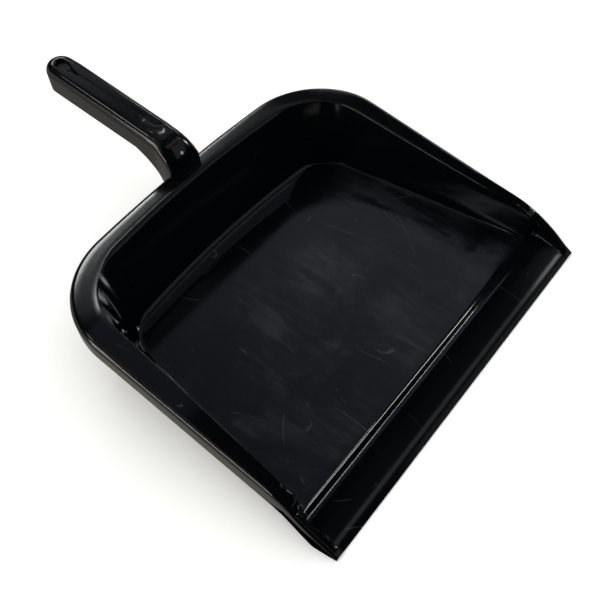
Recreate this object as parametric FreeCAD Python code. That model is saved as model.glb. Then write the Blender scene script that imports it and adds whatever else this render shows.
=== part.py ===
import FreeCAD, Part
import math
import os

# Heavy-duty dust pan with a hollow handle, injection moulded in one shot of polypropylene.
# The moulding is written as its named regions, which meet face to face and never overlap.
# Working frame: the pick-up edge lies along X at Y = 0, the handle points to +Y, the pan stands on Z = 0.
# Every region is moved at the end so that the origin is under the middle of the whole pan.

# ---- driving dimensions, millimetres -------------------------------------------------------------
WALL = 2.6                      # wall of the moulding, everywhere
LIP_WIDTH = 311.0               # pick-up edge, tip to tip
REAR_WIDTH = 316.0              # over the rim at the rear corners
PAN_DEPTH = 280.0               # pick-up edge to the back of the rim
HANDLE_LENGTH = 140.0           # back of the rim to the far end of the handle
RIM_HEIGHT = 59.0               # table to the top of the rim at the rear
HANDLE_RISE = 30.0              # rim to the top of the neck
HANDLE_CLIMB = 16.0             # top of the neck to the top of the far end

RIM_WIDTH_REAR = 17.5           # flat of the rim, from the mouth out, at the rear
RIM_WIDTH_SIDE = 23.0           # the same at the rear corners, measured to the corner of the straight sides
RIM_WIDTH_FRONT = 4.5           # and at the front of the side walls
RIM_CORNER_WIDTH = 15.0         # rim corner radius less mouth corner radius
RIM_EDGE_R = 6.0                # round along the outer top edge of the rim
RIM_LEVEL_LENGTH = 70.0         # the rim is level over this length at the rear, then slopes to the front
RIM_KNEE_Y = 46.0               # from here it curves down to the tips
RIM_KNEE_HEIGHT = 32.0
RIM_KNEE_BULGE = 2.6            # how far that curve bulges above its chord
RIM_TIP_HEIGHT = 2.4
SKIRT_DEPTH = 17.0
SKIRT_FLARE = 4.0               # draft of the skirt at the rear, over the whole height of the pan
SKIRT_BOW = 9.5                 # how far the back of the rim bows out

MOUTH_CORNER_R = 55.0
MOUTH_BOW = 10.7
FLOOR_CORNER_R = 30.0
FLOOR_BOW = 8.2
REAR_WALL_LEAN = 25.0           # how far the rear wall leans out from the floor to above the rim
SIDE_WALL_LEAN = 13.5           # the same for the side walls, at the rear corners
FRONT_WALL_LEAN = 8.0           # and at the front of the floor
FLOOR_FRONT_Y = 37.0            # where the flat floor starts

WING_WIDTH = 7.0                # the tips beside the lip, at the table
WING_WIDTH_TOP = 3.0            # and at the rim
LIP_JOG_Y = 30.0                # the side walls step out from the floor to the lip down to here
LIP_JOG_TAPER = 1.2             # the lip is this much narrower there than at its edge, each side
CREST_Y = 29.0                  # middle of the crest between floor and lip
CREST_WIDTH = 2.0
CREST_RISE = 3.0                # crest above the floor
LIP_EDGE_THICKNESS = 0.8
LIP_BEVEL_Y = 4.0
LIP_BEVEL_HEIGHT = 2.0

HANDLE_WIDTH = 26.0
HANDLE_DEPTH_ROOT = 20.3        # depth of the handle's sides where the neck ends
HANDLE_DEPTH_END = 23.0         # and at the far end
HANDLE_ROOT_GAP = 1.5           # mouth edge to the foot of the neck
HANDLE_ROOT_SAG = 7.0           # the foot is rounded in plan by this much
NECK_TOP_REACH = 9.0            # the neck turns into the grip this far behind the rim, on top
NECK_UNDER_REACH = 32.0         # and this far behind it underneath
NECK_CROWN_RUN = 0.27           # the fullest point of the neck's curve, as shares of its run
NECK_CROWN_RISE = 0.70          # and of its rise
GUSSET_BULGE = 0.13             # hollow curve under the neck, as a share of its chord
SHOULDER_R = 5.0                # round along the top edges of the handle

HOLE_R = 5.2                    # round end of the hanging hole
HOLE_EDGE = 15.0                # its centre from the far end of the handle
HOLE_TAPER = 22.0               # its centre to its point
GROOVE_WIDTH = 3.4
GROOVE_DEPTH = 0.8
GROOVE_OVERLAP = 2.4            # how far it reaches into the thumb recess
GROOVE_RUN_IN = 8.5             # and past the point of the hole
THUMB_GAP = 11.0                # end of the neck's curve to the middle of the thumb recess
THUMB_LENGTH = 24.0
THUMB_WIDTH = 14.0
THUMB_DEPTH = 1.3
THUMB_RAISE = 0.39              # middle of the ball that cuts it, above the handle's top

# ---- sizes that follow ---------------------------------------------------------------------------
OVERALL_LENGTH = PAN_DEPTH + HANDLE_LENGTH
LIP_HALF = LIP_WIDTH / 2
REAR_HALF = REAR_WIDTH / 2
LIP_BOTTOM_HALF = LIP_HALF - WING_WIDTH
LIP_TOP_HALF = LIP_HALF - WING_WIDTH_TOP
LIP_JOG_HALF = LIP_BOTTOM_HALF - LIP_JOG_TAPER
MOUTH_FRONT_HALF = LIP_HALF - RIM_WIDTH_FRONT
MOUTH_REAR_HALF = REAR_HALF - RIM_WIDTH_SIDE
MOUTH_REAR_Y = PAN_DEPTH - RIM_WIDTH_REAR
FLOOR_FRONT_HALF = MOUTH_FRONT_HALF - FRONT_WALL_LEAN
FLOOR_REAR_HALF = MOUTH_REAR_HALF - SIDE_WALL_LEAN
FLOOR_REAR_Y = MOUTH_REAR_Y - REAR_WALL_LEAN
SKIRT_CORNER_R = MOUTH_CORNER_R + RIM_CORNER_WIDTH
RIM_LEVEL_Y = PAN_DEPTH - RIM_LEVEL_LENGTH
FLOOR_TOP = WALL
CREST_TOP = FLOOR_TOP + CREST_RISE
HANDLE_HALF = HANDLE_WIDTH / 2
HANDLE_ROOT_Y = MOUTH_REAR_Y + HANDLE_ROOT_GAP
NECK_TOP_Y = PAN_DEPTH + NECK_TOP_REACH
NECK_TOP_Z = RIM_HEIGHT + HANDLE_RISE
NECK_UNDER_Y = PAN_DEPTH + NECK_UNDER_REACH
HANDLE_END_TOP_Z = NECK_TOP_Z + HANDLE_CLIMB
HANDLE_SLOPE = HANDLE_CLIMB / (OVERALL_LENGTH - NECK_TOP_Y)
HOLE_Y = OVERALL_LENGTH - HOLE_EDGE
HOLE_POINT_Y = HOLE_Y - HOLE_TAPER
THUMB_Y = NECK_TOP_Y + THUMB_GAP
CORNER_Y = PAN_DEPTH - SKIRT_CORNER_R - 14.0    # the side walls and rims end and the corners start
CORNER_X = REAR_HALF - SKIRT_CORNER_R - 4.0     # the corners end and the rear starts
GRIP_START_Y = NECK_UNDER_Y + 4.0
GRIP_END_Y = HOLE_POINT_Y - 6.0
LOFT_TOP = RIM_HEIGHT + 3.0     # the lofts run a little past the rim and are trimmed to it
MARGIN = 40.0                   # reach of trimming blocks past the part
TO_FRAME = FreeCAD.Vector(0, -OVERALL_LENGTH / 2, 0)


def vec(x, y, z=0.0):
    return FreeCAD.Vector(x, y, z)


def line(a, b):
    return Part.LineSegment(a, b).toShape()


def arc(a, middle, b):
    return Part.Arc(a, middle, b).toShape()


def trim_box(x0, x1, y0, y1, z0, z1):
    return Part.makeBox(x1 - x0, y1 - y0, z1 - z0, vec(x0, y0, z0))


def mirrored(shape):
    return shape.mirror(vec(0, 0), vec(1, 0, 0))


def rear_rounding(front, rear_half, rear_y, bow, radius, z):
    """Edges from the point front, back along the right side, round the rear and up to the middle."""
    crown = (rear_half ** 2 + bow ** 2) / (2 * bow)
    centre_y = rear_y - crown
    run = vec(rear_half - front[0], rear_y - bow - front[1])
    run.normalize()
    inward = vec(-run.y, run.x)
    start = vec(front[0] + inward.x * radius, front[1] + inward.y * radius)
    to_centre = start - vec(0, centre_y)
    along = to_centre.dot(run)
    reach = crown - radius
    step = -along + math.sqrt(along ** 2 - to_centre.dot(to_centre) + reach ** 2)
    centre = start + run * step
    side_end = centre - inward * radius
    out = centre - vec(0, centre_y)
    out.normalize()
    crown_start = vec(0, centre_y) + out * crown
    bisector = (side_end - centre) + (crown_start - centre)
    bisector.normalize()
    middle = centre + bisector * radius
    lift = vec(0, 0, z)
    return lift + vec(*front), lift + side_end, lift + middle, lift + crown_start, vec(0, rear_y, z)


def outline(front_points, rear_half, rear_y, bow, radius, z):
    """Closed wire, symmetric about X = 0: straight front, the given front points, then the rounded rear."""
    first, side_end, middle, crown_start, apex = rear_rounding(
        front_points[-1], rear_half, rear_y, bow, radius, z)
    right = [vec(x, y, z) for x, y in front_points]
    flip = [vec(-p.x, p.y, p.z) for p in right]
    edges = [line(flip[0], right[0])]
    for a, b in zip(right[:-1], right[1:]):
        edges.append(line(a, b))
    edges.append(line(first, side_end))
    edges.append(arc(side_end, middle, crown_start))
    edges.append(arc(crown_start, apex, vec(-crown_start.x, crown_start.y, z)))
    edges.append(arc(vec(-crown_start.x, crown_start.y, z), vec(-middle.x, middle.y, z),
                     vec(-side_end.x, side_end.y, z)))
    edges.append(line(vec(-side_end.x, side_end.y, z), flip[-1]))
    for a, b in zip(reversed(flip[1:]), reversed(flip[:-1])):
        edges.append(line(a, b))
    return Part.Wire(edges)


def prism(wire, z0, z1):
    face = Part.Face(wire)
    face.translate(vec(0, 0, z0 - wire.BoundBox.ZMin))
    return face.extrude(vec(0, 0, z1 - z0))


def side_slab(edges, half):
    """A profile drawn in the YZ plane, extruded to both sides of X = 0."""
    face = Part.Face(Part.Wire(edges))
    face.translate(vec(-half, 0))
    return face.extrude(vec(2 * half, 0))


# ---- the cavity and the outside of the tub -------------------------------------------------------
front_out = -MARGIN / 4
cavity = Part.makeLoft([
    outline([(LIP_BOTTOM_HALF, front_out), (LIP_JOG_HALF, LIP_JOG_Y), (FLOOR_FRONT_HALF, FLOOR_FRONT_Y)],
            FLOOR_REAR_HALF, FLOOR_REAR_Y, FLOOR_BOW, FLOOR_CORNER_R, 0.0),
    outline([(LIP_TOP_HALF, front_out), (LIP_TOP_HALF, LIP_JOG_Y), (MOUTH_FRONT_HALF, FLOOR_FRONT_Y)],
            MOUTH_REAR_HALF, MOUTH_REAR_Y, MOUTH_BOW, MOUTH_CORNER_R, LOFT_TOP)], True, True)
tub = Part.makeLoft([
    outline([(LIP_BOTTOM_HALF + WALL, front_out), (LIP_JOG_HALF + WALL, LIP_JOG_Y),
             (FLOOR_FRONT_HALF + WALL, FLOOR_FRONT_Y)],
            FLOOR_REAR_HALF + WALL, FLOOR_REAR_Y + WALL, FLOOR_BOW, FLOOR_CORNER_R + WALL, 0.0),
    outline([(LIP_TOP_HALF + WALL, front_out), (LIP_TOP_HALF + WALL, LIP_JOG_Y),
             (MOUTH_FRONT_HALF + WALL, FLOOR_FRONT_Y)],
            MOUTH_REAR_HALF + WALL, MOUTH_REAR_Y + WALL, MOUTH_BOW, MOUTH_CORNER_R + WALL, LOFT_TOP)],
    True, True)


# ---- the rim's side view -------------------------------------------------------------------------
def rim_line(drop):
    """Edges of the top of the rim seen from the side, lowered by drop, from the tips to the rear."""
    tip = vec(0, 0, RIM_TIP_HEIGHT - drop)
    knee = vec(0, RIM_KNEE_Y, RIM_KNEE_HEIGHT - drop)
    level = vec(0, RIM_LEVEL_Y, RIM_HEIGHT - drop)
    back = vec(0, PAN_DEPTH + MARGIN, RIM_HEIGHT - drop)
    middle = (tip + knee) * 0.5 + vec(0, 0, RIM_KNEE_BULGE)
    return [arc(tip, middle, knee), line(knee, level), line(level, back)], tip, back


def under_rim(drop):
    """Everything below the rim line lowered by drop."""
    edges, tip, back = rim_line(drop)
    low = -MARGIN
    edges.append(line(back, vec(0, back.y, low)))
    edges.append(line(vec(0, back.y, low), vec(0, 0, low)))
    edges.append(line(vec(0, 0, low), tip))
    return side_slab(edges, REAR_WIDTH)


def skirt_block(inset):
    """The outside of the skirt down to the table, or its inside when it is inset by the wall."""
    front = [(LIP_HALF - inset, 0.0)]
    sections = []
    for flare, z in ((SKIRT_FLARE, 0.0), (0.0, LOFT_TOP)):
        sections.append(outline(front, REAR_HALF - inset + flare, PAN_DEPTH - inset + flare, SKIRT_BOW,
                                SKIRT_CORNER_R - inset + flare, z))
    return Part.makeLoft(sections, True, True)


def top_edges_behind_knee(solid):
    """The top edges of the rim block behind the knee: its outside and the bend where it turns level."""
    found = []
    for edge in solid.Edges:
        middle = edge.valueAt((edge.FirstParameter + edge.LastParameter) / 2)
        above = edge.BoundBox.ZMin > RIM_KNEE_HEIGHT - 1 and middle.z > RIM_KNEE_HEIGHT + 1
        if above and edge.Length > SKIRT_DEPTH:
            found.append(edge)
    return found


behind_wings = trim_box(-REAR_WIDTH, REAR_WIDTH, FLOOR_FRONT_Y, PAN_DEPTH + MARGIN, -MARGIN, LOFT_TOP)
whole_rim = skirt_block(0.0).common(under_rim(0.0))
whole_rim = whole_rim.makeFillet(RIM_EDGE_R, top_edges_behind_knee(whole_rim))
flange = whole_rim.cut(under_rim(WALL))
skirt = whole_rim.cut(skirt_block(WALL)).common(under_rim(WALL)).cut(under_rim(SKIRT_DEPTH))
rim = flange.fuse(skirt).cut(cavity)
all_walls = tub.cut(cavity).common(under_rim(WALL)).common(whole_rim)
walls = all_walls.common(trim_box(-REAR_WIDTH, REAR_WIDTH, FLOOR_FRONT_Y, PAN_DEPTH, FLOOR_TOP, LOFT_TOP))
floor = tub.common(trim_box(-REAR_WIDTH, REAR_WIDTH, FLOOR_FRONT_Y, PAN_DEPTH, 0, FLOOR_TOP))
wings = all_walls.fuse(rim).common(trim_box(-REAR_WIDTH, REAR_WIDTH, 0, FLOOR_FRONT_Y, 0, LOFT_TOP))
rim = rim.common(behind_wings)

# ---- crest and pick-up lip -----------------------------------------------------------------------
crest_front = CREST_Y - CREST_WIDTH / 2
crest_back = CREST_Y + CREST_WIDTH / 2
front_section = [
    vec(0, 0, 0), vec(0, 0, LIP_EDGE_THICKNESS), vec(0, LIP_BEVEL_Y, LIP_BEVEL_HEIGHT),
    vec(0, crest_front, CREST_TOP), vec(0, crest_back, CREST_TOP), vec(0, FLOOR_FRONT_Y, FLOOR_TOP),
    vec(0, FLOOR_FRONT_Y, 0), vec(0, crest_back + WALL, CREST_TOP - WALL),
    vec(0, crest_front, CREST_TOP - WALL), vec(0, LIP_BEVEL_Y, 0)]
section_edges = [line(a, b) for a, b in zip(front_section, front_section[1:] + front_section[:1])]
front = side_slab(section_edges, REAR_WIDTH).common(cavity)
lip = front.common(trim_box(-REAR_WIDTH, REAR_WIDTH, 0, crest_front, 0, LOFT_TOP))
ridge = front.common(trim_box(-REAR_WIDTH, REAR_WIDTH, crest_front, FLOOR_FRONT_Y, 0, LOFT_TOP))


# ---- handle --------------------------------------------------------------------------------------
def handle_top(y):
    return NECK_TOP_Z + (y - NECK_TOP_Y) * HANDLE_SLOPE


def handle_envelope(inset, open_below):
    """The outside of the handle, or with an inset the hollow inside it, which is open below."""
    half = HANDLE_HALF - inset
    end_centre = OVERALL_LENGTH - HANDLE_HALF
    root = HANDLE_ROOT_Y + inset
    shoulder = root + HANDLE_ROOT_SAG
    plan = Part.Wire([
        arc(vec(-half, shoulder), vec(0, root), vec(half, shoulder)),
        line(vec(half, shoulder), vec(half, end_centre)),
        arc(vec(half, end_centre), vec(0, end_centre + half), vec(-half, end_centre)),
        line(vec(-half, end_centre), vec(-half, shoulder))])
    column = prism(plan, 0, HANDLE_END_TOP_Z + MARGIN)
    skirt_low = RIM_HEIGHT - SKIRT_DEPTH
    start = vec(0, root, RIM_HEIGHT)
    neck = vec(0, NECK_TOP_Y, NECK_TOP_Z - inset)
    crown = vec(0, root + (neck.y - root) * NECK_CROWN_RUN, start.z - inset + HANDLE_RISE * NECK_CROWN_RISE)
    tail = vec(0, OVERALL_LENGTH, HANDLE_END_TOP_Z - inset)
    under = vec(0, OVERALL_LENGTH, HANDLE_END_TOP_Z - HANDLE_DEPTH_END)
    gusset = vec(0, NECK_UNDER_Y, handle_top(NECK_UNDER_Y) - HANDLE_DEPTH_ROOT)
    toe = vec(0, PAN_DEPTH + SKIRT_FLARE, skirt_low)
    across = vec(0, toe.z - gusset.z, gusset.y - toe.y)
    bend = (gusset + toe) * 0.5 + across * GUSSET_BULGE
    edges = [arc(start, crown, neck), line(neck, tail)]
    if open_below:
        deep = skirt_low - MARGIN
        edges += [line(tail, vec(0, tail.y, deep)), line(vec(0, tail.y, deep), vec(0, root, deep)),
                  line(vec(0, root, deep), start)]
    else:
        edges += [line(tail, under), line(under, gusset), arc(gusset, bend, toe),
                  line(toe, vec(0, root, skirt_low)), line(vec(0, root, skirt_low), start)]
    return side_slab(edges, half).common(column)


def top_edges(solid):
    """The long edges of the handle's top, which are rounded."""
    found = []
    for edge in solid.Edges:
        box = edge.BoundBox
        middle = edge.valueAt((edge.FirstParameter + edge.LastParameter) / 2)
        near_top = abs(middle.z - handle_top(middle.y)) < 0.5
        if near_top and box.ZMin > NECK_TOP_Z - 1 and box.YLength > 8:
            found.append(edge)
    return found


outside = handle_envelope(0.0, False)
outside = outside.makeFillet(SHOULDER_R, top_edges(outside))
hollow = handle_envelope(WALL, True)
handle = outside.cut(hollow).cut(whole_rim)

hole_wall = math.acos(HOLE_R / (HOLE_Y - HOLE_POINT_Y))
tangent = vec(HOLE_R * math.sin(hole_wall), HOLE_Y - HOLE_R * math.cos(hole_wall))
point = vec(0, HOLE_POINT_Y)
teardrop = Part.Wire([
    line(point, tangent),
    arc(tangent, vec(0, HOLE_Y + HOLE_R), vec(-tangent.x, tangent.y)),
    line(vec(-tangent.x, tangent.y), point)])
handle = handle.cut(prism(teardrop, 0, HANDLE_END_TOP_Z + MARGIN))

# The groove starts inside the thumb recess and runs into the hole, where the hole is wider than it.
groove_start = THUMB_Y + THUMB_LENGTH / 2 - GROOVE_OVERLAP
groove_end = HOLE_POINT_Y + GROOVE_RUN_IN
sky = HANDLE_END_TOP_Z + MARGIN
groove_corners = [
    vec(0, groove_start, handle_top(groove_start) - GROOVE_DEPTH),
    vec(0, groove_end, handle_top(groove_end) - GROOVE_DEPTH),
    vec(0, groove_end, sky), vec(0, groove_start, sky)]
groove_edges = [line(a, b) for a, b in zip(groove_corners, groove_corners[1:] + groove_corners[:1])]
handle = handle.cut(side_slab(groove_edges, GROOVE_WIDTH / 2))

# The thumb recess is cut with a ball squeezed to the recess's size and sunk by its depth.
ball_height = THUMB_DEPTH + THUMB_RAISE
thumb = Part.makeSphere(THUMB_LENGTH / 2, vec(0, 0), vec(0, 1, 0))
squeeze = FreeCAD.Matrix()
squeeze.scale(THUMB_WIDTH / THUMB_LENGTH, 1.0, 2 * ball_height / THUMB_LENGTH)
thumb = thumb.transformGeometry(squeeze)
thumb.rotate(vec(0, 0), vec(1, 0, 0), math.degrees(math.atan(HANDLE_SLOPE)))
thumb.translate(vec(0, THUMB_Y, handle_top(THUMB_Y) + ball_height - THUMB_DEPTH))
handle = handle.cut(thumb)


# ---- the regions, each its own solid -------------------------------------------------------------
far = max(REAR_WIDTH, LIP_WIDTH)
right_side = trim_box(0, far, 0, CORNER_Y, 0, far)
right_corner = trim_box(CORNER_X, far, CORNER_Y, far * 2, 0, far)
rear_middle = trim_box(-CORNER_X, CORNER_X, CORNER_Y, far * 2, 0, far)

regions = {
    "pan_floor": floor,
    "front_ridge": ridge,
    "pickup_lip": lip,
    "right_wing": wings.common(trim_box(0, far, 0, far, 0, far)),
    "right_side_wall": walls.common(right_side),
    "right_corner_wall": walls.common(right_corner),
    "rear_wall": walls.common(rear_middle),
    "right_side_rim": rim.common(right_side),
    "right_corner_rim": rim.common(right_corner),
    "rear_rim": rim.common(rear_middle),
    "handle_neck": handle.common(trim_box(-far, far, 0, GRIP_START_Y, 0, far)),
    "handle_grip": handle.common(trim_box(-far, far, GRIP_START_Y, GRIP_END_Y, 0, far)),
    "handle_hanging_end": handle.common(trim_box(-far, far, GRIP_END_Y, far * 2, 0, far)),
}
for name in [n for n in regions if n.startswith("right_")]:
    regions[name.replace("right_", "left_")] = mirrored(regions[name])

os.makedirs("parts", exist_ok=True)
for name, shape in regions.items():
    shape = shape.removeSplitter()
    shape.translate(TO_FRAME)
    shape.exportStep("parts/%s.step" % name)
    box = shape.BoundBox
    print("%-20s solids %d valid %s volume %8.0f  x %.1f %.1f  y %.1f %.1f  z %.1f %.1f" % (
        name, len(shape.Solids), shape.isValid(), shape.Volume,
        box.XMin, box.XMax, box.YMin, box.YMax, box.ZMin, box.ZMax))
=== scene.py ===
import math
import bmesh
import bpy
from mathutils import Matrix, Vector


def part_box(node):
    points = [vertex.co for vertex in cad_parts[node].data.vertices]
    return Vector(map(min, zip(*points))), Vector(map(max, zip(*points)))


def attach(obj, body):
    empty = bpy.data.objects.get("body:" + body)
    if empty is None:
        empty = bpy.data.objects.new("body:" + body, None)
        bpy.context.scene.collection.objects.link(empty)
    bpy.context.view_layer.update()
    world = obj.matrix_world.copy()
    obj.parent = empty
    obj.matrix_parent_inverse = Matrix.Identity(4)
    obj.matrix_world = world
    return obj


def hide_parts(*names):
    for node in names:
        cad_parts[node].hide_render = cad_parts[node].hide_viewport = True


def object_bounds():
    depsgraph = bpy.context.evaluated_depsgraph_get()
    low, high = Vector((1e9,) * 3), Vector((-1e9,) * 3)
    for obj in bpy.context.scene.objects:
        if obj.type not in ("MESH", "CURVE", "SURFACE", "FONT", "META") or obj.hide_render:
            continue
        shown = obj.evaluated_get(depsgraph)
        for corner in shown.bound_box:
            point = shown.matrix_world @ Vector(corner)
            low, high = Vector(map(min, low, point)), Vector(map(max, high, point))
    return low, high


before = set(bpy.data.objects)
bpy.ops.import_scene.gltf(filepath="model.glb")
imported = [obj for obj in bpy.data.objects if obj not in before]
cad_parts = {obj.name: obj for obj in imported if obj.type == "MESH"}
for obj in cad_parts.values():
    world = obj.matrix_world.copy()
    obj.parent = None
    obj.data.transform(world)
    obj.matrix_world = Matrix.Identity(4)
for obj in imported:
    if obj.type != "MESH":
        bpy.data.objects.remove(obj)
cad_low, cad_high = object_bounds()

# ---- Pan ------------------------------------------------------------------------------------------
# Floor, raked walls, rolled rim, skirt, crest and pick-up lip: one injection moulding of black
# polypropylene, 2.6 mm thick all over. Every bend in it is a fillet of the mould, so it is shaped
# as one sheet and given its wall afterwards. Sizes are in millimetres, Y from the pick-up edge.
mm = 0.001
floor_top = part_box("pan_floor")[1].z / mm
lip_y = cad_low.y / mm
wall = 2.6


def place(x, y, z):
    """A point in millimetres, Y measured from the pick-up edge, in the row frame."""
    return Vector((x, y + lip_y, z)) * mm


def along(a, b, t):
    """The point or number that lies the share t of the way from a to b."""
    return a + (b - a) * t


def rounded_rear(front, half, rear_y, bow, radius, counts):
    """Points from front, back along the side, round the corner and along the bowed rear to X = 0.

    The side's straight would meet the rear's arc at half; the corner is an arc that touches both.
    """
    crown = (half ** 2 + bow ** 2) / (2 * bow)
    crown_y = rear_y - crown
    run = (Vector((half, rear_y - bow)) - front).normalized()
    inward = Vector((-run.y, run.x))
    start = front + inward * radius
    from_crown = start - Vector((0, crown_y))
    shift = from_crown.dot(run)
    step = -shift + math.sqrt(shift ** 2 - from_crown.dot(from_crown) + (crown - radius) ** 2)
    centre = start + run * step
    side_end = centre - inward * radius
    out = (centre - Vector((0, crown_y))).normalized()
    first = math.atan2(-inward.y, -inward.x)
    last = math.atan2(out.y, out.x)
    side = [along(front, side_end, i / counts[0]) for i in range(counts[0])]
    corner = []
    for i in range(counts[1]):
        a = first + (last - first) * i / counts[1]
        corner.append(centre + Vector((math.cos(a), math.sin(a))) * radius)
    rear = []
    for i in range(counts[2] + 1):
        a = last + (math.pi / 2 - last) * i / counts[2]
        rear.append(Vector((0, crown_y)) + Vector((math.cos(a), math.sin(a))) * crown)
    return side + corner + rear


def filleted(corners, radii, steps):
    """Corner points joined by straight runs, each inner corner rounded with its own radius."""
    points = [corners[0]]
    for i in range(1, len(corners) - 1):
        a, b, c = corners[i - 1], corners[i], corners[i + 1]
        back, on = (a - b), (c - b)
        turn = math.pi - back.angle(on)
        reach = min(radii[i - 1] * math.tan(turn / 2), 0.46 * back.length, 0.46 * on.length)
        p, q = b + back.normalized() * reach, b + on.normalized() * reach
        for k in range(steps[i - 1] + 1):
            # a rational quadratic through both tangent points, which is a true arc of a circle
            t = k / steps[i - 1]
            first, middle, last = (1 - t) ** 2, 2 * t * (1 - t) * math.cos(turn / 2), t ** 2
            points.append((p * first + b * middle + q * last) / (first + middle + last))
    points.append(corners[-1])
    return points


def read(line, y):
    """The value of a line of (y, value) points at y, and its last value beyond its end."""
    for a, b in zip(line, line[1:]):
        if a.x <= y <= b.x:
            return a.y + (b.y - a.y) * (y - a.x) / max(b.x - a.x, 1e-6)
    return line[-1].y


# In front of the split are the lip and its wings; behind it are the floor and its walls.
split = 44.0

# Section through the lip: pick-up edge, bevel, ramp, crest, and down to the floor.
edge_top, bevel_top, crest_top = 0.7, 2.5, 5.6
lip_section = [Vector((0, edge_top)), Vector((6.2, bevel_top)), Vector((27.6, crest_top)),
               Vector((30.2, crest_top)), Vector((37, floor_top)), Vector((split, floor_top))]
front_profile = filleted(lip_section, [44, 5, 7, 12], [8, 5, 6, 9])
rows_between = [1.5, 3, 11, 13.5, 16, 18.5, 21, 23.5, 25.5, 32.4, 33, 33.5, 34, 34.5, 38.6, 39.4, 40.5, 42]
front_ys = sorted([p.x for p in front_profile] + rows_between)
n_front = len(front_ys) - 1

# The rim is level along the rear, falls in a straight line to the wings, and bows down to their tips.
rim_top, wing_top, tip_top = 59.0, 32.0, 2.2
level_from, wing_from = 210.0, 46.0
wing_bow = 3.4


def sharp_rim(y):
    if y >= level_from:
        return rim_top
    if y >= wing_from:
        return wing_top + (y - wing_from) * (rim_top - wing_top) / (level_from - wing_from)
    bow = wing_bow * 4 * (y / wing_from) * (1 - y / wing_from)
    return tip_top + (wing_top - tip_top) * y / wing_from + bow


def rim_height(y):
    """The rim's height with its bends eased, as the mean over up to 14 mm on either side."""
    reach = min(14.0, max(y, 0) * 0.6)
    return sum(sharp_rim(y + reach * k / 6) for k in range(-6, 7)) / 13


# Plans of the floor, of the walls carried up to one level above the rim, and of the rim's outer edge,
# each with its half width at the split, its half width and Y at the rear, the rear's bow and the radius.
counts = (40, 30, 30)
wall_plan_z = 62.0
outer_half = 155.95
floor_line = rounded_rear(Vector((142.3, split)), 121.5, 237.5, 8.2, 30, counts)
mouth_line = rounded_rear(Vector((150.5, split)), 135, 262.5, 10.7, 55, counts)
outer_line = rounded_rear(Vector((outer_half, split)), 158, 280, 9.5, 70, counts)

# Beside the lip: the half width at the foot of the wing, the half width at the inner edge of its top,
# and that edge's height, all by Y. The wing stands about 7 mm further out than the wall behind it.
wing_foot = filleted([Vector((-8, 147.2)), Vector((9, 147.6)), Vector((24, 149.9)), Vector((34.6, 150.8)),
                      Vector((37.3, 143.3)), Vector((60, 140.9))], [20, 20, 1.5, 1.5], [3, 3, 5, 5])
wing_edge = filleted([Vector((-8, 148.6)), Vector((9, 149.3)), Vector((34.6, 151.2)), Vector((37.6, 146.0)),
                      Vector((60, 144.2))], [20, 1.8, 2.5], [3, 5, 5])
edge_height = filleted([Vector((-8, 0.6)), Vector((6, 2.6)), Vector((20, 11.7)), Vector((34.2, 19.6)),
                        Vector((37.2, 26.0)), Vector((48, 32.6)), Vector((70, 36.0))],
                       [30, 60, 3, 5, 30], [4, 4, 5, 5, 4])
lip_half, wing_swell = 155.5, 0.9
stations = []
for y in front_ys[:-1]:
    outer_x = along(lip_half, outer_half, y / split) + wing_swell * math.sin(math.pi * y / split)
    stations.append((Vector((read(wing_foot, y), y)), Vector((read(wing_edge, y), y)), Vector((outer_x, y))))
stations += list(zip(floor_line, mouth_line, outer_line))

skirt_depth, skirt_flare = 17.0, 1.6
shore = 11.0
floor_fillet, floor_fillet_rear = 2.6, 7.0
inner_radius, inner_radius_rear = 1.3, 5.0
outer_radius_lip, outer_radius = 3.2, 5.0
join_rows = 6


def lift(p, z):
    return Vector((p.x, p.y, z))


def inner_corner(index, base_z):
    """The rim's inner edge: where the raked wall reaches the rim's height, or the wing's own edge."""
    low, top, _ = stations[index]
    wing_z = max(read(edge_height, low.y), base_z + 0.12)
    if index < n_front:
        return lift(top, wing_z)
    crest_y = top.y
    for _ in range(4):
        crest_z = rim_height(crest_y)
        crest = along(low, top, crest_z / wall_plan_z)
        crest_y = crest.y
    if index < n_front + join_rows:
        crest_z = along(read(edge_height, low.y), crest_z, min(1, (low.y - split) / 20))
    return lift(crest, crest_z)


def inward_at(index):
    """The level direction from the wall's foot into the pan, square to the wall."""
    if index < n_front:
        return Vector((-1, 0))
    before = stations[max(index - 1, 0)][0]
    if index == len(stations) - 1:
        after = Vector((-before.x, before.y))
    else:
        after = stations[index + 1][0]
    run = (after - before).normalized()
    return Vector((-run.y, run.x))


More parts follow.
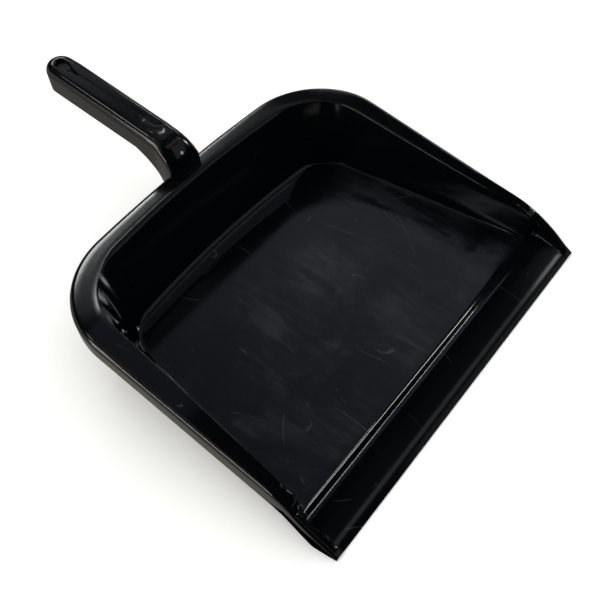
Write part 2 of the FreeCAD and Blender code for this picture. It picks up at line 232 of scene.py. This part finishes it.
def cross_section(index):
    """One row of points: from the floor, up the wall, over the rim and down the skirt."""
    low, top, outer = stations[index]
    base_z = read(front_profile, low.y)
    if index < n_front:
        wing_z = max(read(edge_height, low.y), base_z + 0.12)
        top = along(low, top, wall_plan_z / max(wing_z - 2, 4))
    base = lift(along(low, top, base_z / wall_plan_z), base_z)
    crest = inner_corner(index, base_z)
    outer_z = rim_height(outer.y)
    width = (outer - crest.xy).length
    edge = lift(outer, outer_z - min(1.3, 0.09 * width))
    depth = min(skirt_depth, outer_z)
    flare = skirt_flare * (wall_plan_z - (outer_z - depth)) / wall_plan_z * min(1, depth / skirt_depth)
    hem = lift(outer, outer_z - depth) + lift((outer - crest.xy).normalized() * flare, 0)
    toe = lift(base.xy + inward_at(index) * shore, base_z)
    rear = (index - n_front - counts[0] - counts[1] * 0.7) / (counts[1] * 0.3)
    rear = min(1.0, max(0.0, rear))
    raised = min(1, max(0, (low.y - 20) / 60))
    radii = [along(floor_fillet, floor_fillet_rear, rear), along(inner_radius, inner_radius_rear, rear),
             along(outer_radius_lip, outer_radius, raised)]
    bent = filleted([toe, base, crest, edge, hem], radii, [7, 6, 9])
    # more points on the straight runs: floor, wall, rim and skirt
    cuts = {0: (0.5,), 8: (0.25, 0.5, 0.75), 15: (0.33, 0.66), 25: (0.33, 0.66)}
    points = []
    for i, p in enumerate(bent):
        points.append(p)
        if i in cuts and i + 1 < len(bent):
            points += [along(p, bent[i + 1], t) for t in cuts[i]]
    return points


right_rows = [cross_section(i) for i in range(len(stations))]
left_rows = [[Vector((-p.x, p.y, p.z)) for p in row] for row in reversed(right_rows[:-1])]
rows = right_rows + left_rows
n_across = len(rows[0])


def pick_nothing():
    if bpy.context.object and bpy.context.object.mode != "OBJECT":
        bpy.ops.object.mode_set(mode="OBJECT")
    bpy.ops.object.select_all(action="DESELECT")


pick_nothing()
bpy.ops.mesh.primitive_grid_add(x_subdivisions=n_across - 1, y_subdivisions=len(rows) - 1, size=1)
pan = bpy.context.object
pan.name = "pan"
for i, row in enumerate(rows):
    for k, p in enumerate(row):
        pan.data.vertices[i * n_across + k].co = place(p.x, p.y, p.z)

# Floor, ramp and lip between the two sides, row by row; the rear of the floor is filled afterwards.
n_rows = n_front + counts[0] + 1
n_cols = 40
pick_nothing()
bpy.ops.mesh.primitive_grid_add(x_subdivisions=n_cols, y_subdivisions=n_rows - 1, size=1)
bed = bpy.context.object
for i in range(n_rows):
    right = rows[i][0]
    for k in range(n_cols + 1):
        x = right.x * (1 - 2 * k / n_cols)
        bed.data.vertices[i * (n_cols + 1) + k].co = place(x, right.y, right.z)

bpy.ops.object.select_all(action="DESELECT")
bed.select_set(True)
pan.select_set(True)
bpy.context.view_layer.objects.active = pan
bpy.ops.object.join()
bpy.ops.object.mode_set(mode="EDIT")
bpy.ops.mesh.select_all(action="SELECT")
bpy.ops.mesh.remove_doubles(threshold=0.00005)
bpy.ops.mesh.select_all(action="DESELECT")
mesh = bmesh.from_edit_mesh(pan.data)
for edge in mesh.edges:
    if edge.is_boundary:
        a, b = edge.verts
        on_floor = all(abs(v.co.z / mm - floor_top) < 0.01 for v in (a, b))
        edge.select_set(on_floor and all(v.co.y / mm - lip_y > split + 20 for v in (a, b)))
bmesh.update_edit_mesh(pan.data)
bpy.ops.mesh.edge_face_add()
bpy.ops.mesh.select_all(action="SELECT")
bpy.ops.mesh.normals_make_consistent(inside=False)
mesh = bmesh.from_edit_mesh(pan.data)
mesh.faces.ensure_lookup_table()
floor_face = max(mesh.faces, key=lambda f: f.calc_area())
if floor_face.normal.z < 0:
    bpy.ops.mesh.flip_normals()
bpy.ops.object.mode_set(mode="OBJECT")
thick = pan.modifiers.new("wall", "SOLIDIFY")
thick.thickness = wall * mm
thick.offset = -1
thick.use_even_offset = True
bpy.ops.object.modifier_apply(modifier=thick.name)
for v in pan.data.vertices:
    v.co.z = max(v.co.z, 0.0)
bpy.ops.object.shade_smooth_by_angle(angle=math.radians(35))


def linear(code):
    """An sRGB hex colour as the linear values that a shader takes."""
    channels = [int(code[i:i + 2], 16) / 255 for i in (1, 3, 5)]
    return [c / 12.92 if c <= 0.04045 else ((c + 0.055) / 1.055) ** 2.4 for c in channels] + [1.0]


# Polypropylene coloured black in the melt and moulded against polished steel: a deep mirror gloss,
# with fine hairline scratches, dust and a satin haze where swept grit has rubbed the floor.
black = bpy.data.materials.new("gloss_black_polypropylene")
black.use_nodes = True
tree = black.node_tree
shader = tree.nodes["Principled BSDF"]
shader.inputs["IOR"].default_value = 1.49


def add(kind, settings, inputs):
    """A node in the tree in hand, with its settings, and its inputs either linked or set."""
    made = tree.nodes.new(kind)
    for name, value in settings.items():
        setattr(made, name, value)
    for socket, value in inputs.items():
        if isinstance(value, bpy.types.NodeSocket):
            tree.links.new(value, made.inputs[socket])
        else:
            made.inputs[socket].default_value = value
    return made


where = add("ShaderNodeTexCoord", {}, {}).outputs["Object"]
smooth = {"interpolation_type": "SMOOTHSTEP"}
places = add("ShaderNodeSeparateXYZ", {}, {"Vector": where})
depth_in, height = places.outputs["Y"], places.outputs["Z"]
normal = add("ShaderNodeNewGeometry", {}, {}).outputs["Normal"]
facing = add("ShaderNodeSeparateXYZ", {}, {"Vector": normal}).outputs["Z"]
low_down = add("ShaderNodeMapRange", smooth, {"Value": height, "From Min": 0.012,
                                              "From Max": 0.006}).outputs[0]
level = add("ShaderNodeMapRange", smooth, {"Value": facing, "From Min": 0.93, "From Max": 0.99}).outputs[0]
rubbed = add("ShaderNodeMath", {"operation": "MULTIPLY"}, {0: low_down, 1: level}).outputs[0]

# Haze from wiping and sweeping, in clouds about 70 mm across and in streaks about 12 mm wide.
clouds = add("ShaderNodeTexNoise", {}, {"Vector": where, "Scale": 14.0, "Detail": 4.0, "Roughness": 0.62,
                                        "Distortion": 0.8}).outputs["Fac"]
turned = add("ShaderNodeMapping", {}, {"Vector": where, "Rotation": (0, 0, math.radians(24)),
                                       "Scale": (1.0, 0.22, 1.0)}).outputs[0]
streaks = add("ShaderNodeTexNoise", {}, {"Vector": turned, "Scale": 85.0, "Detail": 3.0,
                                         "Distortion": 1.2}).outputs["Fac"]
cloud_part = add("ShaderNodeMapRange", smooth, {"Value": clouds, "From Min": 0.36,
                                                "From Max": 0.66}).outputs[0]
streak_part = add("ShaderNodeMapRange", {}, {"Value": streaks, "From Min": 0.4, "From Max": 0.72,
                                             "To Min": 0.2}).outputs[0]
haze = add("ShaderNodeMath", {"operation": "MULTIPLY"}, {0: cloud_part, 1: streak_part}).outputs[0]
haze = add("ShaderNodeMath", {"operation": "MULTIPLY"}, {0: haze, 1: rubbed}).outputs[0]
# The brush rubs the front two thirds of the floor, not the rear and not the ramp.
for unrubbed, full in ((0.01, -0.06), (cad_low.y + 0.036, cad_low.y + 0.046)):
    swept_over = add("ShaderNodeMapRange", smooth,
                     {"Value": depth_in, "From Min": unrubbed, "From Max": full}).outputs[0]
    haze = add("ShaderNodeMath", {"operation": "MULTIPLY"}, {0: haze, 1: swept_over}).outputs[0]

# Hairline scratches, drawn about 0.3 mm wide so that they show: lines of equal height in slow noise,
# broken up by a second noise. Each layer has its turn, its stretch, its scale and where it starts.
scratches = 0.0
scratch_layers = ((15, 0.45, 9.0, 0.0), (-48, 0.3, 13.0, 3.1), (70, 0.5, 7.0, 6.4),
                  (32, 0.2, 24.0, 8.8), (-12, 0.25, 30.0, 12.3), (100, 0.3, 40.0, 17.0))
for turn, stretch, scale, start in scratch_layers:
    laid = add("ShaderNodeMapping", {}, {"Vector": where, "Location": (start, start * 0.7, 0),
                                         "Rotation": (0, 0, math.radians(turn)),
                                         "Scale": (1.0, stretch, 1.0)}).outputs[0]
    slow = add("ShaderNodeTexNoise", {}, {"Vector": laid, "Scale": scale, "Detail": 0.0}).outputs["Fac"]
    off = add("ShaderNodeMath", {"operation": "SUBTRACT"}, {0: slow, 1: 0.52}).outputs[0]
    off = add("ShaderNodeMath", {"operation": "ABSOLUTE"}, {0: off}).outputs[0]
    line = add("ShaderNodeMapRange", {}, {"Value": off, "From Min": 0.00015 * scale, "From Max": 0.0,
                                          "To Min": 0.0, "To Max": 1.0}).outputs[0]
    broken = add("ShaderNodeTexNoise", {}, {"Vector": laid, "Scale": scale * 2.3 + 10,
                                            "Detail": 1.0}).outputs["Fac"]
    kept = add("ShaderNodeMapRange", {}, {"Value": broken, "From Min": 0.6, "From Max": 0.68}).outputs[0]
    line = add("ShaderNodeMath", {"operation": "MULTIPLY"}, {0: line, 1: kept}).outputs[0]
    scratches = add("ShaderNodeMath", {"operation": "MAXIMUM"}, {0: scratches, 1: line}).outputs[0]
scratches = add("ShaderNodeMath", {"operation": "MULTIPLY"}, {0: scratches, 1: level}).outputs[0]

# Dust: a grain about 0.5 mm across in some of the 7 mm cells.
grains = add("ShaderNodeTexVoronoi", {}, {"Vector": where, "Scale": 140.0, "Randomness": 1.0})
chosen = add("ShaderNodeMath", {"operation": "GREATER_THAN"}, {0: grains.outputs["Color"], 1: 0.7}).outputs[0]
dot = add("ShaderNodeMapRange", {}, {"Value": grains.outputs["Distance"], "From Min": 0.05,
                                     "From Max": 0.02}).outputs[0]
dust = add("ShaderNodeMath", {"operation": "MULTIPLY"}, {0: dot, 1: chosen}).outputs[0]

# Scuffs where the pan knocks on things, each with its place and its reach in millimetres: two beside
# the handle's root, one at each end of the crest and one on the neck. Their nicks are about 1 mm across.
scuff_places = ((31, 268, 59, 12), (-12, 268, 59, 10), (130, 46, 4, 20), (-128, 47, 4, 16), (0, 282, 84, 16))
scuffed = 0.0
for x, y, z, reach in scuff_places:
    near = add("ShaderNodeVectorMath", {"operation": "DISTANCE"},
               {0: where, 1: place(x, y, z)}).outputs["Value"]
    patch = add("ShaderNodeMapRange", smooth, {"Value": near, "From Min": reach * mm,
                                               "From Max": reach * mm * 0.3}).outputs[0]
    scuffed = add("ShaderNodeMath", {"operation": "MAXIMUM"}, {0: scuffed, 1: patch}).outputs[0]
nicks = add("ShaderNodeTexNoise", {}, {"Vector": where, "Scale": 1100.0, "Detail": 3.0,
                                       "Roughness": 0.7}).outputs["Fac"]
nicks = add("ShaderNodeMapRange", {}, {"Value": nicks, "From Min": 0.6, "From Max": 0.72}).outputs[0]
scuffs = add("ShaderNodeMath", {"operation": "MULTIPLY"}, {0: nicks, 1: scuffed}).outputs[0]

# Clean plastic first, then each mark laid over it with its own colour.
tint = linear("#030406")
for mark, colour in ((haze, "#1E1F22"), (scratches, "#27292B"), (scuffs, "#2B2C2D"), (dust, "#5E5A52")):
    tint = add("ShaderNodeMix", {"data_type": "RGBA"}, {0: mark, 6: tint, 7: linear(colour)}).outputs[2]
tree.links.new(tint, shader.inputs["Base Color"])
gloss = add("ShaderNodeMapRange", {}, {"Value": clouds, "From Min": 0.3, "From Max": 0.7,
                                       "To Min": 0.045, "To Max": 0.065}).outputs[0]
# Handled and knocked about, the rim and the handle are a satin gloss, and so is the front of the lip.
handled = add("ShaderNodeMapRange", smooth, {"Value": height, "From Min": 0.030, "From Max": 0.055,
                                             "To Max": 0.075}).outputs[0]
gripped = add("ShaderNodeMapRange", smooth, {"Value": depth_in, "From Min": 0.055, "From Max": 0.075,
                                             "To Max": 0.04}).outputs[0]
swept = add("ShaderNodeMapRange", smooth, {"Value": depth_in, "From Min": cad_low.y + 0.026,
                                           "From Max": cad_low.y + 0.018, "To Max": 0.07}).outputs[0]
for worn in (handled, gripped, swept):
    gloss = add("ShaderNodeMath", {"operation": "ADD"}, {0: gloss, 1: worn}).outputs[0]
dulled = add("ShaderNodeMath", {"operation": "MULTIPLY_ADD"}, {0: haze, 1: 0.12, 2: gloss}).outputs[0]
marks = add("ShaderNodeMath", {"operation": "MAXIMUM"}, {0: scuffs, 1: dust}).outputs[0]
dulled = add("ShaderNodeMath", {"operation": "MULTIPLY_ADD"}, {0: marks, 1: 0.4, 2: dulled}).outputs[0]
tree.links.new(dulled, shader.inputs["Roughness"])
# The mould's own polish leaves ripples a few microns deep and about 20 mm apart.
ripple = add("ShaderNodeTexNoise", {}, {"Vector": where, "Scale": 50.0, "Detail": 1.0})
bump = add("ShaderNodeBump", {}, {"Height": ripple.outputs["Fac"], "Strength": 0.1, "Distance": 0.00006})
tree.links.new(bump.outputs[0], shader.inputs["Normal"])
pan.data.materials.clear()
pan.data.materials.append(black)
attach(pan, "root")
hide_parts("pan_floor", "front_ridge", "pickup_lip", "right_wing", "left_wing", "right_side_wall",
            "left_side_wall", "right_corner_wall", "left_corner_wall", "rear_wall", "right_side_rim",
            "left_side_rim", "right_corner_rim", "left_corner_rim", "rear_rim")

# ---- Handle ---------------------------------------------------------------------------------------
# The hollow handle of the same moulding: an upside-down channel, 26 mm wide, that rises from a
# domed root on the rear rim. Its top has a keyhole to hang it by, a groove and a thumb recess.
half_width, root_half = 13.0, 15.4
nose_y, nose_reach = 272.0, 8.0
end_y = 407.0
shoulder = 7.0
hole_y = 383.0
neck = [Vector((264, 59)), Vector((265.5, 70)), Vector((269, 78)), Vector((279, 87.3)), Vector((289, 89))]


def bezier(points, t):
    while len(points) > 1:
        points = [along(a, b, t) for a, b in zip(points, points[1:])]
    return points[0]


# The top rises along the neck's curve, then in a straight slope; under it the open side has its own line.
slope = 14.8 / 131
beyond_end = 422
neck_line = [bezier(neck, i / 60) for i in range(61)]
neck_line.append(Vector((beyond_end, neck[-1].y + (beyond_end - neck[-1].x) * slope)))
under = [Vector((283.2, 42)), Vector((286.4, 54)), Vector((294, 65)), Vector((312, 71.6))]
hem_line = [Vector((250, 57.4)), Vector((279.0, 57.4)), Vector((279.3, 42))]
hem_line += [bezier(under, i / 24) for i in range(25)] + [Vector((421, 82))]


def half_at(y):
    """Half the handle's width, which grows over the last 22 mm to the root."""
    t = min(1.0, max(0.0, (292 - y) / 22))
    return half_width + (root_half - half_width) * t * t * (3 - 2 * t)


def drop(distance, y):
    """Height lost at the shoulder, which is rounder at the root and at the far end."""
    radius = shoulder + 3.5 * min(1.0, max(0.0, (296 - y) / 26)) + 1.5 * min(1.0, max(0.0, (y - 396) / 12))
    distance = max(distance, 0.0)
    if distance >= radius:
        return 0.0
    return radius - math.sqrt(radius ** 2 - (radius - distance) ** 2)


groove_from, groove_to = 309.4, 396.0
groove_half, groove_bank, groove_depth = 1.75, 0.5, 0.85


def groove(x, y):
    """Depth of the groove, 3.5 mm wide, that runs from the keyhole's point to the thumb recess."""
    if not groove_from < y < groove_to:
        return 0.0
    side = min(1.0, max(0.0, (groove_half - abs(x)) / groove_bank))
    start = min(1.0, (y - groove_from) / 1.2)
    return groove_depth * side * side * (3 - 2 * side) * start


recess_y, recess_reach, recess_half = 300.5, 12.0, 6.8


def recess(x, y):
    """Depth of the oval thumb recess, which is steepest and deepest at the pan's end."""
    u, v = (y - recess_y) / recess_reach, x / recess_half
    out = u * u + v * v
    if out >= 1:
        return 0.0
    return (1 - out) ** (1.15 + 0.35 * u) * (1.15 - 0.5 * u)


# Distances in from the edge at which the top has points: close over the shoulder and at the groove.
shoulder_turns = [shoulder * (1 - math.cos(math.radians(a)))
                  for a in (0, 8, 16, 25, 34, 43, 52, 61, 70, 80, 90)]
flat_turns = [7.6, 8.2, 8.8, 9.4, 10.0, 10.6, 11.15, 11.3, 11.45, 11.6, 11.75, 12.1, 12.6, 13.0]
# The outline in plan, as points on the edge with the middle that each looks to and the part it is in.
outline = []
for i in range(13):
    a = math.radians(90 * i / 12)
    rim = Vector((root_half * math.sin(a), nose_y - nose_reach * math.cos(a)))
    outline.append((rim, Vector((0, nose_y)), "nose"))
y = nose_y + 0.9
while y < end_y - 0.5:
    outline.append((Vector((half_at(y), y)), Vector((0, y)), "side"))
    y += 0.8 if y < 316 else 1.5
for i in range(17):
    a = math.radians(90 * i / 16)
    rim = Vector((half_width * math.cos(a), end_y + half_width * math.sin(a)))
    outline.append((rim, Vector((0, end_y)), "end"))


side_flare = 0.6


def handle_column(rim, middle, part):
    """Points from the foot of the side, up it, over the shoulder and across to the middle."""
    points = []
    for turn in shoulder_turns + flat_turns:
        p = along(rim, middle, turn / half_width)
        away = half_width * (1 - abs(p.x) / root_half) if part == "nose" else turn
        z = read(neck_line, p.y) - drop(away, p.y) - groove(p.x, p.y) - recess(p.x, p.y)
        points.append(Vector((p.x, p.y, z)))
    crown = points[0]
    bottom = read(hem_line, rim.y)
    side = []
    for t in (1.0, 0.82, 0.64, 0.46, 0.3, 0.15):
        z = along(crown.z, bottom, t)
        out = (rim - middle).normalized().x * side_flare * min(1.0, (crown.z - z) / 20)
        side.append(Vector((rim.x + out, rim.y, z)))
    return side + points


right_columns = [handle_column(*column) for column in outline]
left_columns = [[Vector((-p.x, p.y, p.z)) for p in column] for column in reversed(right_columns[1:-1])]
columns = right_columns + left_columns
tall = len(columns[0])
pick_nothing()
bpy.ops.mesh.primitive_grid_add(x_subdivisions=tall - 1, y_subdivisions=len(columns), size=1)
handle = bpy.context.object
handle.name = "handle"
for i, column in enumerate(columns + columns[:1]):
    for k, p in enumerate(column):
        handle.data.vertices[i * tall + k].co = place(p.x, p.y, p.z)
bpy.ops.object.mode_set(mode="EDIT")
bpy.ops.mesh.select_all(action="SELECT")
bpy.ops.mesh.remove_doubles(threshold=0.00002)
bpy.ops.mesh.normals_make_consistent(inside=False)
mesh = bmesh.from_edit_mesh(handle.data)
highest = max(mesh.faces, key=lambda f: f.calc_center_median().z)
if highest.normal.z < 0:
    bpy.ops.mesh.flip_normals()
bpy.ops.object.mode_set(mode="OBJECT")
thick = handle.modifiers.new("wall", "SOLIDIFY")
thick.thickness = wall * mm
thick.offset = -1
thick.use_even_offset = False
bpy.ops.object.modifier_apply(modifier=thick.name)

# The keyhole: a round hole that narrows to a point, with a rounded edge.
hole_radius, hole_centre = 5.2, 22.0
keyhole = [Vector((0, 0.0)), Vector((1.15, 5.5)), Vector((2.5, 11.5)), Vector((3.6, 15.2))]
for i in range(15):
    a = math.radians(-32 + 122 * i / 14)
    keyhole.append(Vector((hole_radius * math.cos(a), hole_centre + hole_radius * math.sin(a))))
keyhole += [Vector((-p.x, p.y)) for p in reversed(keyhole[1:-1])]
tilt = math.atan(16 / 131)
# The cutter's rings: height over the handle's top, and how far the ring lies outside the hole.
rings = [(2.0, 0.95), (0.05, 0.9), (-0.09, 0.62), (-0.25, 0.4), (-0.45, 0.2), (-0.9, 0.0), (-9.0, 0.0)]
pick_nothing()
bpy.ops.mesh.primitive_grid_add(x_subdivisions=len(rings) - 1, y_subdivisions=len(keyhole), size=1)
cutter = bpy.context.object
for i, p in enumerate(keyhole + keyhole[:1]):
    before, after = keyhole[(i - 1) % len(keyhole)], keyhole[(i + 1) % len(keyhole)]
    run = (after - before).normalized()
    outward = Vector((run.y, -run.x))
    for k, (above, spread) in enumerate(rings):
        q = p + outward * spread
        y = hole_y + q.y * math.cos(tilt) - above * math.sin(tilt)
        z = read(neck_line, hole_y) + q.y * math.sin(tilt) + above * math.cos(tilt)
        cutter.data.vertices[i * len(rings) + k].co = place(q.x, y, z)
bpy.ops.object.mode_set(mode="EDIT")
bpy.ops.mesh.select_all(action="SELECT")
bpy.ops.mesh.remove_doubles(threshold=0.00001)
bpy.ops.mesh.select_all(action="DESELECT")
bpy.ops.mesh.select_mode(type="EDGE")
bpy.ops.mesh.select_non_manifold()
bpy.ops.mesh.edge_face_add()
bpy.ops.mesh.select_all(action="SELECT")
bpy.ops.mesh.fill_holes(sides=0)
bpy.ops.mesh.normals_make_consistent(inside=False)
bpy.ops.object.mode_set(mode="OBJECT")
cut = handle.modifiers.new("keyhole", "BOOLEAN")
cut.operation = "DIFFERENCE"
cut.object = cutter
cut.solver = "EXACT"
pick_nothing()
handle.select_set(True)
bpy.context.view_layer.objects.active = handle
bpy.ops.object.modifier_apply(modifier=cut.name)
bpy.data.objects.remove(cutter)
bpy.ops.object.shade_smooth_by_angle(angle=math.radians(35))
handle.data.materials.clear()
handle.data.materials.append(black)
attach(handle, "root")
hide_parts("handle_neck", "handle_grip", "handle_hanging_end")

# ---- Gate mark ------------------------------------------------------------------------------------
# Where the melt entered the mould: a broken-off sprue ground nearly flush on the neck, 2.7 mm wide,
# whitened by the break. It is part of the same moulding.
gate_y, gate_radius, gate_height = 271.5, 1.35, 0.9
gate_slope = math.atan2(read(neck_line, gate_y + 1) - read(neck_line, gate_y - 1), 2)
pick_nothing()
bpy.ops.mesh.primitive_cylinder_add(vertices=40, radius=gate_radius * mm, depth=gate_height * mm)
gate = bpy.context.object
gate.name = "gate_mark"
bpy.ops.object.mode_set(mode="EDIT")
bpy.ops.mesh.select_all(action="DESELECT")
mesh = bmesh.from_edit_mesh(gate.data)
for face in mesh.faces:
    face.select_set(face.normal.z > 0.9)
bmesh.update_edit_mesh(gate.data)
for step_in, step_up in ((0.3, 0.15), (0.35, -0.1), (0.25, 0.08)):
    bpy.ops.mesh.inset(thickness=step_in * mm, depth=step_up * mm)
bpy.ops.object.mode_set(mode="OBJECT")
gate_place = place(0, gate_y, read(neck_line, gate_y) - 0.34)
gate.matrix_world = Matrix.Translation(gate_place) @ Matrix.Rotation(gate_slope, 4, "X")
bpy.ops.object.transform_apply(location=True, rotation=True, scale=True)
bpy.ops.object.shade_smooth_by_angle(angle=math.radians(50))
whitened = black.copy()
whitened.name = "stress_whitened_gate"
grey = next(n for n in whitened.node_tree.nodes if n.type == "BSDF_PRINCIPLED")
for socket in ("Base Color", "Roughness"):
    whitened.node_tree.links.remove(grey.inputs[socket].links[0])
grey.inputs["Base Color"].default_value = linear("#7B7D80")
grey.inputs["Roughness"].default_value = 0.45
gate.data.materials.append(whitened)
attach(gate, "root")

# ---- Floor, light and camera ---------------------------------------------------------------------
# White paper under the pan and a bright, even room, as in a product studio. The gloss would mirror all
# of it, so what it mirrors is set up apart: dim floor cards, long soft lamps and panels overhead.
bpy.ops.object.select_all(action="DESELECT")
bpy.ops.mesh.primitive_plane_add(size=6.0, location=(0, 0, -0.0002))
ground = bpy.context.object
ground.name = "studio_floor"
paper = bpy.data.materials.new("pale_paper")
paper.use_nodes = True
paper.node_tree.nodes["Principled BSDF"].inputs["Base Color"].default_value = linear("#F4F4F2")
paper.node_tree.nodes["Principled BSDF"].inputs["Roughness"].default_value = 0.9
ground.data.materials.append(paper)
ground.visible_glossy = False


def glowing(name, colour, strength):
    """A material that only shines, and the Principled node that says how much."""
    made = bpy.data.materials.new(name)
    made.use_nodes = True
    node = made.node_tree.nodes["Principled BSDF"]
    node.inputs["Base Color"].default_value = (0, 0, 0, 1)
    node.inputs["Specular IOR Level"].default_value = 0.0
    node.inputs["Emission Color"].default_value = colour
    node.inputs["Emission Strength"].default_value = strength
    return made, node


def only_mirrored(card, shine):
    """A card that the gloss mirrors, but that isn't seen, lights nothing and shades nothing."""
    card.data.materials.append(shine)
    card.visible_camera = False
    card.visible_diffuse = False
    card.visible_shadow = False


# What the gloss mirrors of the room's floor is greyer and warmer than the paper, and has none of it
# in front, where the rear wall would mirror it.
dim, _ = glowing("dim_room_floor", linear("#BAB7AC"), 0.7)
for name, size, x, y in (("room_floor", 6.0, 0, 2.88), ("room_floor_beside", 0.5, -0.415, -0.37)):
    bpy.ops.object.select_all(action="DESELECT")
    bpy.ops.mesh.primitive_plane_add(size=size, location=(x, y, -0.002))
    bpy.context.object.name = name
    only_mirrored(bpy.context.object, dim)

world = bpy.data.worlds.new("studio")
bpy.context.scene.world = world
world.use_nodes = True
world.node_tree.nodes["Background"].inputs["Color"].default_value = (1, 1, 1, 1)
world.node_tree.nodes["Background"].inputs["Strength"].default_value = 1.02
world.cycles_visibility.glossy = False


def softbox(name, direction, distance, width, height, radiance, roll=0.0, colour=(1, 1, 1)):
    """A soft light that faces the pan, with its width and height in degrees as the pan sees them."""
    light = bpy.data.lights.new(name, "AREA")
    light.shape = "RECTANGLE"
    light.size = 2 * distance * math.tan(math.radians(width / 2))
    light.size_y = 2 * distance * math.tan(math.radians(height / 2))
    light.energy = radiance * math.pi * light.size * light.size_y
    light.color = colour
    lamp = bpy.data.objects.new(name, light)
    bpy.context.scene.collection.objects.link(lamp)
    stand = Vector(direction).normalized() * distance
    lamp.matrix_world = (Matrix.Translation(stand) @ stand.to_track_quat("Z", "Y").to_matrix().to_4x4()
                         @ Matrix.Rotation(math.radians(roll), 4, "Z"))
    return lamp


def toward(azimuth, elevation):
    """A direction by its turn from the rear towards +X and its angle over the floor, in degrees."""
    a, e = math.radians(azimuth), math.radians(elevation)
    return (math.sin(a) * math.cos(e), math.cos(a) * math.cos(e), math.sin(e))


# Strips and lamps four metres off, named for where they stand or for what mirrors them.
away = 4.0
softbox("back_strip", toward(24, 35.8), away, 32, 2.2, 20.0, roll=30)
softbox("right_strip", (0.85, 0.34, 0.41), away, 32, 3, 9.0)
softbox("right_key", (0.87, -0.33, 0.34), away, 4, 8, 28.0)
softbox("left_high", (-0.50, 0.38, 0.78), away, 30, 4, 8.0)
softbox("left_middle", toward(-62, 22), away, 16, 6, 13.0, colour=(1, 0.95, 0.87))
softbox("left_front", toward(-83, 31), away, 14, 2, 4.0)
softbox("left_low", toward(-74, 6), away, 32, 5, 14.0, colour=(1, 0.93, 0.82))
softbox("low_corner", toward(-38, 8), away, 46, 14, 0.7, colour=(1, 0.97, 0.88))

overhead = 1.0


def ceiling_panel(name, x, y, width, depth, radiance, colour=(1, 1, 1)):
    """A soft panel one metre above the floor that shines down, with its place and size in metres."""
    panel = softbox(name, (0.0, 0.0, 1.0), overhead, 10, 10, 1.0, colour=colour)
    panel.data.size, panel.data.size_y = width, depth
    panel.data.energy = radiance * math.pi * width * depth
    panel.location = (x, y, overhead)
    return panel


ceiling_panel("over_handle", 0.5, 1.03, 1.1, 0.54, 0.23, colour=(0.86, 0.94, 1.12))
ceiling_panel("over_neck", 0.8, -1.4, 0.9, 1.6, 0.3)
ceiling_panel("over_lip", 0.4, -0.41, 0.9, 0.14, 0.5)
ceiling_panel("over_lip_end", 1.0, -0.41, 0.25, 0.14, 3.0)
# The crest's bright lines come from a lamp that the handle does not mirror.
crest_light = ceiling_panel("over_crest", 0.28, 0.74, 0.36, 0.05, 18.0)
pan_alone = bpy.data.collections.new("lit_by_crest_light")
pan_alone.objects.link(pan)
crest_light.light_linking.receiver_collection = pan_alone

# The soft panel that the floor mirrors: brighter to the right, with its far right corner rounded.
panel_left, panel_right, panel_front, panel_back = -1.2, 0.86, 0.03, 0.60
bpy.ops.object.select_all(action="DESELECT")
bpy.ops.mesh.primitive_plane_add(size=1.0, location=(0, 0, overhead))
panel = bpy.context.object
panel.name = "over_floor"
for vertex in panel.data.vertices:
    vertex.co = Vector((panel_right if vertex.co.x > 0 else panel_left,
                        panel_back if vertex.co.y > 0 else panel_front, 0))
bpy.ops.object.mode_set(mode="EDIT")
bpy.ops.mesh.select_mode(type="VERT")
bpy.ops.mesh.select_all(action="DESELECT")
bpy.ops.object.mode_set(mode="OBJECT")
for vertex in panel.data.vertices:
    vertex.select = vertex.co.x > 0 and vertex.co.y > 0.1
bpy.ops.object.mode_set(mode="EDIT")
bpy.ops.mesh.bevel(offset=0.2, segments=8, affect="VERTICES")
bpy.ops.object.mode_set(mode="OBJECT")
lit, face = glowing("soft_panel", (0.88, 0.93, 1.08, 1), 1.0)
tree = lit.node_tree
on_panel = add("ShaderNodeTexCoord", {}, {}).outputs["Object"]
across = add("ShaderNodeSeparateXYZ", {}, {"Vector": on_panel}).outputs["X"]
rise = add("ShaderNodeMapRange", smooth, {"Value": across, "From Min": 0.0, "From Max": 0.85,
                                          "To Min": 0.14, "To Max": 0.37}).outputs[0]
tree.links.new(rise, face.inputs["Emission Strength"])
only_mirrored(panel, lit)

# The camera looks down at the pan from its front left corner, from a little over half a metre.
camera_data = bpy.data.cameras.new("camera")
camera_data.sensor_width = 36.0
camera_data.lens = 44.46
camera = bpy.data.objects.new("camera", camera_data)
bpy.context.scene.collection.objects.link(camera)
azimuth, elevation, roll = (math.radians(a) for a in (-46.692, 55.041, -5.010))
back = Vector((math.sin(azimuth) * math.cos(elevation), -math.cos(azimuth) * math.cos(elevation),
               math.sin(elevation)))
sideways = Vector((math.cos(azimuth), math.sin(azimuth), 0))
upright = back.cross(sideways)
right = sideways * math.cos(roll) + upright * math.sin(roll)
up = upright * math.cos(roll) - sideways * math.sin(roll)
looked_at, camera_distance = Vector((-0.02331, -0.07313, 0.020)), 0.56306
spot = looked_at + back * camera_distance
camera.matrix_world = Matrix((
    (right.x, up.x, back.x, spot.x), (right.y, up.y, back.y, spot.y), (right.z, up.z, back.z, spot.z),
    (0, 0, 0, 1)))
bpy.context.scene.camera = camera
bpy.context.scene.view_settings.view_transform = "Standard"
